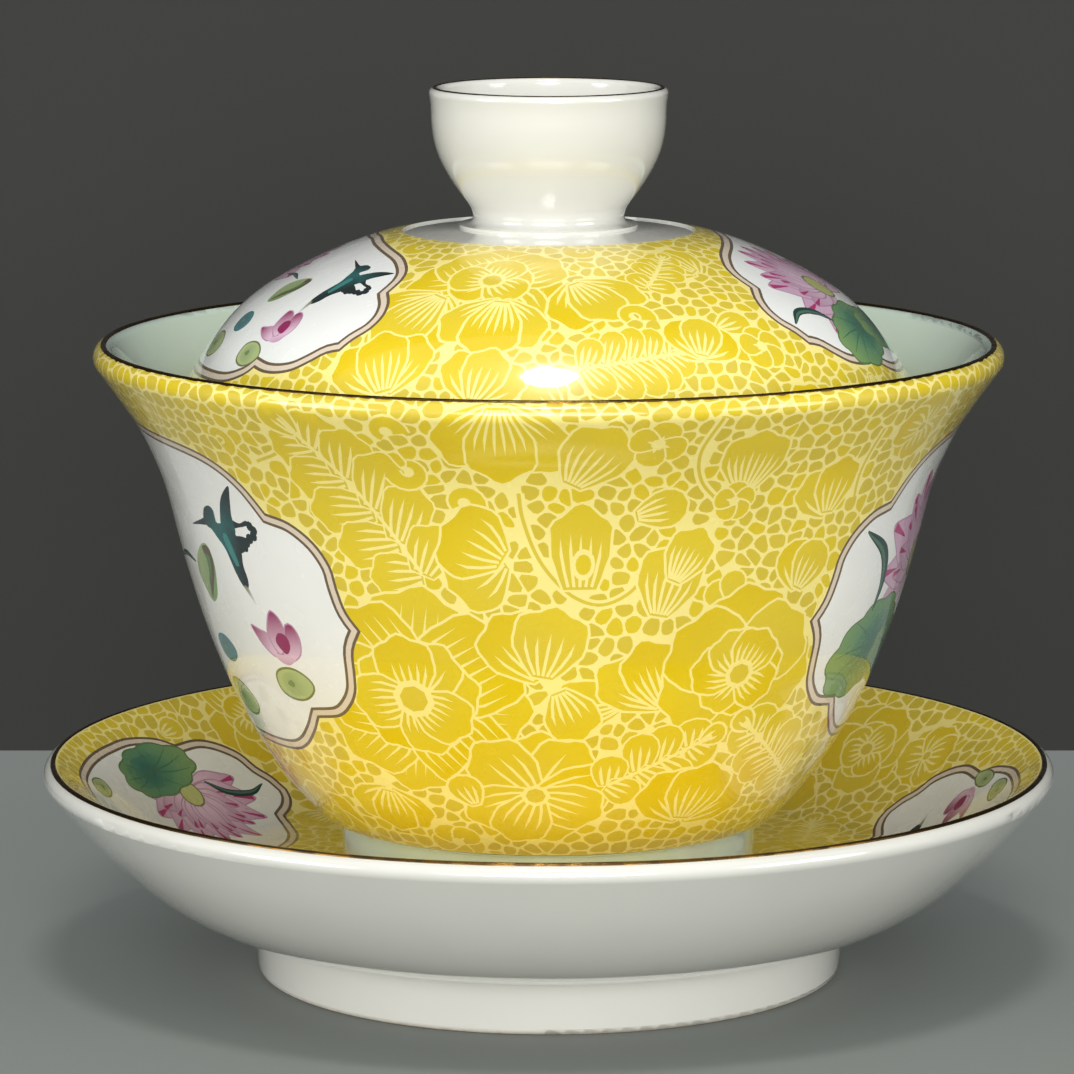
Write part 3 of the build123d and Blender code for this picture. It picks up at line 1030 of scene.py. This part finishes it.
# ---------- the gilt lines on the four lips ----------
def bead_group():
    """Geometry nodes that wind a thin bead of gold round a lip, a little wider here than there."""
    tree = bpy.data.node_groups.new("Gilt_line", "GeometryNodeTree")
    tree.is_modifier = True
    tree.interface.new_socket("Geometry", in_out="INPUT", socket_type="NodeSocketGeometry")
    for name in ("Ring_radius", "Ring_height", "Bead_radius", "Unevenness"):
        tree.interface.new_socket(name, in_out="INPUT", socket_type="NodeSocketFloat")
    tree.interface.new_socket("Gold", in_out="INPUT", socket_type="NodeSocketMaterial")
    tree.interface.new_socket("Geometry", in_out="OUTPUT", socket_type="NodeSocketGeometry")

    def node(kind, inputs=(), **settings):
        return add_node(tree, kind, inputs, **settings)

    given = node("NodeGroupInput").outputs
    lip_ring = node("GeometryNodeCurvePrimitiveCircle", {"Resolution": 360, "Radius": given["Ring_radius"]})
    up = node("ShaderNodeCombineXYZ", {2: given["Ring_height"]})
    raised = node("GeometryNodeSetPosition", {"Geometry": lip_ring.outputs[0], "Offset": up.outputs[0]})
    noise = node("ShaderNodeTexNoise", {"Scale": 60.0, "Detail": 1.0})
    spread = node("ShaderNodeMath", {0: noise.outputs[0], 1: 0.5}, operation="SUBTRACT")
    waver = node("ShaderNodeMath", {0: spread.outputs[0], 1: given["Unevenness"], 2: 1.0}, operation="MULTIPLY_ADD")
    size = node("ShaderNodeMath", {0: waver.outputs[0], 1: given["Bead_radius"]}, operation="MULTIPLY")
    sized = node("GeometryNodeSetCurveRadius", {"Curve": raised.outputs[0], "Radius": size.outputs[0]})
    section = node("GeometryNodeCurvePrimitiveCircle", {"Resolution": 14, "Radius": 1.0})
    bead = node("GeometryNodeCurveToMesh", {"Curve": sized.outputs[0], "Profile Curve": section.outputs[0]})
    if "Scale" in bead.inputs:  # where the section's size has an input of its own
        tree.links.new(size.outputs[0], bead.inputs["Scale"])
    smooth = node("GeometryNodeSetShadeSmooth", {"Geometry": bead.outputs[0]})
    real = node("GeometryNodeRealizeInstances", {0: smooth.outputs[0]})
    done = node("GeometryNodeSetMaterial", {"Geometry": real.outputs[0], "Material": given["Gold"]})
    node("NodeGroupOutput", {0: done.outputs[0]})
    return tree


def gilt_line(tree, name, node, body, width, lean, depth):
    """A bead on a lip, sunk by a depth that is a share of its radius, and set off from the top by lean degrees."""
    centre, radius, way = lip(node)
    turn = math.radians(lean)
    bead_radius = width * 0.55
    far = radius + GILT / 1000 - bead_radius * depth
    values = {
        "Ring_radius": centre[0] + far * math.sin(turn),
        "Ring_height": centre[1] + far * math.cos(turn) * way,
        "Bead_radius": bead_radius,
        "Unevenness": 0.3,
        "Gold": gold,
    }
    mesh = bpy.data.meshes.new(name)
    maker = bpy.data.objects.new(name, mesh)
    bpy.context.scene.collection.objects.link(maker)
    modifier = maker.modifiers.new("Gilt_line", "NODES")
    modifier.node_group = tree
    for item in tree.interface.items_tree:
        if item.name in values:
            modifier[item.identifier] = values[item.name]
    depsgraph = bpy.context.evaluated_depsgraph_get()
    maker.data = bpy.data.meshes.new_from_object(maker.evaluated_get(depsgraph))
    maker.modifiers.clear()
    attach(maker, body)
    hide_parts(node)


winding = bead_group()
for name, rim, body, width, lean, depth in (
    ("Bowl_gilt_line", "bowl_gilt_rim", "bowl", 0.00062, 16, 0.4),
    ("Saucer_gilt_line", "saucer_gilt_rim", "saucer", 0.00056, 8, 0.5),
    ("Lid_gilt_line", "lid_gilt_rim", "lid", 0.00046, 25, 0.62),
    ("Knob_gilt_line", "knob_gilt_rim", "lid", 0.0005, 6, 1.1),
):
    gilt_line(winding, name, rim, body, width, lean, depth)


def paint_layer(skin, name, body, lobes, pictures, sown, cobble, stalks=(), motifs=()):
    """Panels, flowers on the front and half a turn on, cobbles and pictures, and then the piece itself."""
    for centre in pictures:
        panel(skin, centre, lobes)
    panels, skin.shapes = skin.shapes, []
    for shift in (0, 180):
        arrange(skin, stalks, motifs, shift)
    sow(skin, *sown)
    skin.lift_hidden()
    flowers, skin.shapes = skin.shapes, []
    skin.cells(cobble)
    skin.shapes += flowers + panels
    for centre, things in pictures.items():
        for draw, angle, s, turn, size, *rest in things:
            draw(skin.brush(centre + angle, s, turn, size), *rest)
    skin.build(name, painted, body, PALE)


# A picture's things: what draws each, angle from the panel's centre, distance, turn, size and the rest.
PAD_TEAL = (SLATE, PLUME * 1.6)

# ---------- the bowl ----------
BOWL_STALKS = (
    ((21, 60), (19.3, 55), (20.5, 51), (24, 48)),
    ((-4, 50), (-3.6, 47), (-2, 43), (0.5, 40), (4, 37.6), (8, 36.8), (12, 38.2), (14, 40.5)),
    ((47.5, 56), (47.3, 50), (48, 47)),
    ((-42, 52), (-37, 54), (-35, 58)),
)
BOWL_MOTIFS = (
    (feather, -18.5, 40, -38, 8, 21, 12, 5, 4, 1.5),
    (curl, -20, 58, 0, 2.4, 2.4),
    (curl, -18.5, 52.5, 160, 2.6, 2.6),
    (fan, -6, 61.5, 180, 6, 10, 3, 6, 110),
    (petal, 3, 51, 30, 4, 8.5, 7.5, 6),
    (floret, 13.5, 56.5, 20, 3, 3.2, 4),
    (petal, 27, 49.5, 2, 4, 7.6, 7.4, 8),
    (petal, 12, 47, 75, 3, 5.6, 4.6, 4),
    (floret, 26, 48.2, 0, 2.2, 2.4, 5),
    (fan, 43, 45.5, -20, 4, 6.5, 2, 4, 80),
    (bud, 4.5, 38.6, 0, 5, 9.4, 6.2),
    (curl, -11.5, 48.6, 30, 2.4, 2.4),
    (fan, -6.5, 42, -90, 4, 7.2, 2, 5, 120),
    (petal, 16.5, 35.2, 12, 4, 8, 7, 6),
    (trefoil, 28, 36.5, 0, 3, 3.4),
    (fan, 40, 37, 5, 3, 5.8, 2, 4, 80),
    (bloom, -22.5, 25, 10, 12, 12.5, 8, 2, 7, 0.28, 360, 0, 0.5),
    (fan, -1, 28.2, -12, 5, 8, 2, 5, 90),
    (petal, 12, 25, -95, 4, 7.4, 6.4, 7),
    (fan, 19, 24.5, -40, 5, 8, 2, 6, 70),
    (petal, 1.5, 26.5, 155, 4, 6.6, 6, 5),
    (bloom, 32, 27.5, 0, 9, 9.4, 7, 2, 7, 0.25),
    (bloom, -2.5, 12.6, 0, 8, 8.2, 9, 1, 4, 0.2),
    (feather, 11, 14, 62, 5, 12, 8, 4, 3),
    (fan, 29, 8, 10, 5, 7.6, 3, 5, 130, 0.8),
    (fan, -33, 12, 190, 5, 6.5, 3, 4, 120),
    (petal, -14.5, 11, -20, 2.6, 4.2, 3.6, 3),
    (feather, 52, 13, -50, 5, 12, 8, 4, 3),
)
BOWL_LOBES = both_sides(
    [(0, 53.3), (12, 53.1), (24, 52.4), (30.5, 51.1), (35, 48.7), (38.5, 45.3)],
    [(38.5, 45.3), (42.8, 44.6), (46.8, 42.6), (49.2, 40), (49.8, 37.5), (50.8, 34.8), (52.8, 32.7)],
    [(52.8, 32.7), (50.8, 30.2), (50.2, 27.2), (49.5, 25), (47.6, 23.1), (44.6, 21.6), (39.2, 20.9)],
    [(39.2, 20.9), (36.5, 18.7), (32, 16.4), (26, 15.3), (13, 15), (0, 15)],
)
BOWL_PICTURES = {
    -82.75: (
        (lotus_leaf, -30, 24.5, 0, 1, 9, 5.5, 1),
        (blade, -24, 27, 0, 1, [0, 1 + 5j, -2 + 10j], 1.2),
        (lotus, -24, 36, -20, 1, 9.5),
        (curled_leaf, 16.7, 36.4, 0, 0.95),
        (blade, 12.5, 36.9, 0, 1, [0, -4 + 0.4j, -9 - 0.6j], 0.7),
        (kingfisher, 26.75, 41, 0, 1),
        (pad, 15.2, 27, 0, 1, 2.7, 1.7, *PAD_TEAL),
        (pad, 14, 20.8, 5, 1, 3.6, 2.3),
        (pad, 35.5, 24.8, -4, 1, 3.2, 2.1),
        (lotus_bud, 34.9, 29.4, 0, 1),
    ),
    97.25: (
        (lotus, -17.5, 36.5, -5, 1, 12.6, 210),
        (lotus_leaf, -32.2, 27.3, -8, 1, 8.6, 6.0, 0.4),
        (lotus_leaf, -17, 25, 10, 1, 8, 4.6, 2.4),
        (blade, -34.8, 32, 0, 1, [0, 0.6 + 3.4j, -1 + 7j, -5.6 + 9.8j], 1.5),
        (pad, 12, 24, 5, 1, 3.6, 2.2),
        (pad, 24, 28, 0, 1, 2.6, 1.7, *PAD_TEAL),
        (lotus_bud, 22, 38, 10, 1),
        (blade, 20, 30, 0, 1, [0, 1.4 + 3j, 1.2 + 6.4j], 0.7),
        (pad, 36, 34, 0, 1, 2.8, 1.8),
    ),
}
bowl_skin = Skin("bowl_enamel", (1, 0), 1, 2.3, "bowl_gilt_rim")
paint_layer(
    bowl_skin, "Bowl_painted_enamel", "bowl", BOWL_LOBES, BOWL_PICTURES, (160, 3, 58), 2.0, BOWL_STALKS, BOWL_MOTIFS
)

# ---------- the lid ----------
LID_MOTIFS = (
    (bloom, -14, 25.5, 0, 7, 8.2, 7, 2, 6, 0.3),
    (fan, -24, 22, 205, 5, 8.5, 3, 6, 100, 0.7),
    (fan, -10, 21.5, 185, 5, 7.6, 3, 6, 100),
    (fan, 6, 25, 150, 4, 7, 3, 5, 100),
    (feather, 6, 11.5, 82, 6, 12, 8.5, 5, 3, 0),
    (curl, 17, 18.6, 20, 2.2, 2.3),
    (petal, 33, 16, 75, 2.6, 4.6, 3.4, 3),
    (fan, 27, 12.5, 20, 3.4, 5.6, 3, 4, 120),
    (fan, -27, 8, -20, 5, 8, 3, 5, 110, 0.8),
    (fan, -12, 7.5, 15, 4, 6.5, 3, 4, 110),
    (fan, 40, 26, -30, 4, 6.5, 3, 4, 110),
    (fan, 2, 6, -60, 3.5, 5.5, 2, 4, 90),
    (feather, 24, 24, 40, 4, 9, 6, 4, 2, 0),
    (floret, 40, 13, 0, 2.6, 2.8, 5),
)
LID_LOBES = both_sides(
    [(0, 32.4), (13.5, 31.8), (23.5, 31), (33.5, 29.8), (39.5, 28.5), (44.4, 26.5), (46.2, 24.3), (46, 22)],
    [(46, 22), (48.6, 20.2), (49.8, 18), (49, 15.8), (46.6, 14), (45, 12.4)],
    [(45, 12.4), (42.4, 11.9), (39.5, 10.5), (36.5, 9.3), (33, 8.7), (29.5, 8.6), (26.5, 8.9)],
    [(26.5, 8.9), (24.5, 7.7), (19, 6.4), (10, 6), (0, 5.9)],
)
LID_PICTURES = {
    -83.5: (
        (lotus_leaf, -26, 14, 0, 1, 6.6, 4.4, 1),
        (blade, -16, 16, 20, 0.8, [0, 1 + 5j, -2 + 10j], 1.2),
        (lotus, -15, 21.5, -12, 1, 8),
        (curled_leaf, 12.5, 20, 10, 0.72),
        (blade, 9, 21.4, 0, 0.8, [0, -4 + 0.4j, -9 - 0.6j], 0.7),
        (kingfisher, 29.8, 23.2, 36, 0.78),
        (pad, 9.8, 13.8, 0, 0.8, 2.4, 1.9, *PAD_TEAL),
        (pad, 3.5, 10, 0, 0.8, 3.6, 2.2),
        (pad, 22, 10.4, 0, 0.8, 3.0, 2.1),
        (lotus_bud, 26.6, 14, -25, 0.8),
    ),
    96.5: (
        (lotus, -18, 19.5, -20, 1, 11.5, 210),
        (lotus_leaf, -24, 12.6, -8, 1, 7.0, 4.4, 0.4),
        (lotus_leaf, -11, 11.6, 10, 1, 6.4, 3.6, 2.4),
        (blade, -31.5, 14.6, 0, 0.9, [0, -2.6 + 2.2j, -6 + 2.6j, -8.6 + 0.8j], 1.3),
        (pad, 9, 11, 5, 0.8, 3.4, 2.2),
        (pad, 18, 14, 0, 0.8, 2.6, 1.9, *PAD_TEAL),
        (lotus_bud, 17, 21, 10, 0.8),
        (pad, 29, 17, 0, 0.8, 2.8, 2.1),
    ),
}
lid_skin = Skin("lid_enamel", (0, 1), 1, 1.0)
paint_layer(lid_skin, "Lid_painted_enamel", "lid", LID_LOBES, LID_PICTURES, (120, 2, 33), 1.85, (), LID_MOTIFS)

# ---------- the saucer, whose pictures stand with their heads towards the middle ----------
SAUCER_LOBES = both_sides(
    [(0, 7), (10, 7.1), (18, 7.6), (24, 9.4), (28, 12.2), (30.2, 14.8)],
    [(30.2, 14.8), (33.2, 16), (35.2, 17.6), (35.8, 19.2)],
    [(35.8, 19.2), (34.8, 21.4), (33, 23.2), (31.5, 25.4), (28.4, 27.4), (25, 28.5), (20.5, 28.6)],
    [(20.5, 28.6), (17.5, 30.3), (12, 31.6), (6, 31.9), (0, 32)],
)
SAUCER_PICTURES = {
    -99.25: (
        (lotus, -16, 22, 5, 1, 10.5),
        (lotus_leaf, -12, 26.4, 6, 1, 8.4, 4.0, 0.4),
        (blade, -21, 23, 0, 0.9, [0, -3 + 2.6j, -7 + 3.6j, -10 + 2.6j], 1.2),
        (pad, 8, 28.5, 5, 0.9, 3.2, 1.7),
        (pad, 14, 24.5, 0, 0.9, 2.4, 1.6, *PAD_TEAL),
        (lotus_bud, 12, 17, 10, 0.9),
        (pad, 22, 22, 0, 0.9, 2.8, 1.8),
    ),
    80.75: (
        (lotus_leaf, -20, 24.5, 0, 1, 6.6, 4.2, 1),
        (blade, -14, 22, 0, 0.8, [0, 1 + 5j, -2 + 9j], 1.2),
        (lotus, -13, 18, -20, 1, 8),
        (curled_leaf, 11, 18, 0, 0.8),
        (kingfisher, 21, 15, 0, 0.8),
        (pad, 4, 25, 0, 0.9, 2.7, 1.7, *PAD_TEAL),
        (pad, 9, 28.6, 5, 0.9, 3.4, 1.8),
        (pad, 17.5, 28.2, -4, 0.9, 3.0, 1.5),
        (lotus_bud, 17.5, 24.6, 0, 0.9),
    ),
}
saucer_skin = Skin("saucer_enamel", (0, 1), -1, 0.3, "saucer_gilt_rim")
paint_layer(saucer_skin, "Saucer_painted_enamel", "saucer", SAUCER_LOBES, SAUCER_PICTURES, (200, 3, 31), 2.1)

# ---------- floor, lamps and camera ----------
scene = bpy.context.scene
scene.view_settings.view_transform = "Standard"


def sheet(name, corners, material):
    """A flat piece of the room, which isn't part of the object."""
    mesh = bpy.data.meshes.new(name)
    mesh.from_pydata(corners, [], [list(range(len(corners)))])
    mesh.materials.append(material)
    made = bpy.data.objects.new(name, mesh)
    scene.collection.objects.link(made)


def wall(name, colour):
    """A wall seen from its front and in reflections. Light goes through it, and so does a look from behind."""
    g = Graph(name)
    front = 1 - g.node("ShaderNodeNewGeometry", output=6)
    camera_ray, glossy_ray, transmission_ray = (g.node("ShaderNodeLightPath", output=kind) for kind in (0, 3, 6))
    shade = g.node("ShaderNodeBsdfDiffuse", {"Color": colour})
    clear = g.node("ShaderNodeBsdfTransparent")
    seen = (camera_ray + glossy_ray + transmission_ray) * front
    return g.finish(g.node("ShaderNodeMixShader", {0: seen, 1: clear, 2: shade}))


ROOM = 2  # metres from the middle to the floor's edges
WALL_AT, WALL_TOP = 0.12, 1.6
floor_corners = [(-ROOM, -ROOM, 0), (ROOM, -ROOM, 0), (ROOM, ROOM, 0), (-ROOM, ROOM, 0)]
sheet("Floor", floor_corners, Graph("Floor").finish_solid(Base_Color=srgb(128, 132, 127), Roughness=0.9))
wall_corners = [(-ROOM, WALL_AT, -1), (ROOM, WALL_AT, -1), (ROOM, WALL_AT, WALL_TOP), (-ROOM, WALL_AT, WALL_TOP)]
sheet("Backdrop", wall_corners, wall("Backdrop", srgb(60, 60, 58)))

world = bpy.data.worlds.new("Studio")
scene.world = world
world.use_nodes = True
sky = world.node_tree.nodes["Background"].inputs
sky[0].default_value, sky[1].default_value = (0.9, 0.95, 1.0, 1.0), 0.55


def softbox(name, place, aim, width, depth, power):
    """An oval lamp that lights the object and isn't seen itself."""
    lamp = bpy.data.lights.new(name, "AREA")
    lamp.shape, lamp.size, lamp.size_y = "ELLIPSE", width, depth
    lamp.energy = power
    holder = bpy.data.objects.new(name, lamp)
    holder.location = place
    holder.rotation_euler = (Vector(aim) - Vector(place)).to_track_quat("-Z", "Y").to_euler()
    holder.visible_camera = False
    scene.collection.objects.link(holder)


softbox("Key", (0.0, -0.42, 1.0), (0, 0, 0.06), 0.24, 0.15, 3.0)
softbox("Front_fill", (0, -1.6, 0.32), (0, 0, 0.05), 1.4, 0.9, 17.0)
softbox("Left_fill", (-1.35, -0.85, 0.3), (0, 0, 0.05), 0.9, 0.8, 8.0)
softbox("Right_fill", (1.35, -0.85, 0.3), (0, 0, 0.05), 0.9, 0.8, 7.0)

lens = bpy.data.cameras.new("Camera")
lens.lens, lens.sensor_width, lens.shift_x = 184.95, 36.0, -0.0109
camera = bpy.data.objects.new("Camera", lens)
camera.location = (0.0, -0.61128, 0.15028)
camera.rotation_euler = (math.pi / 2 - 0.164, 0, 0)
scene.collection.objects.link(camera)
scene.camera = camera
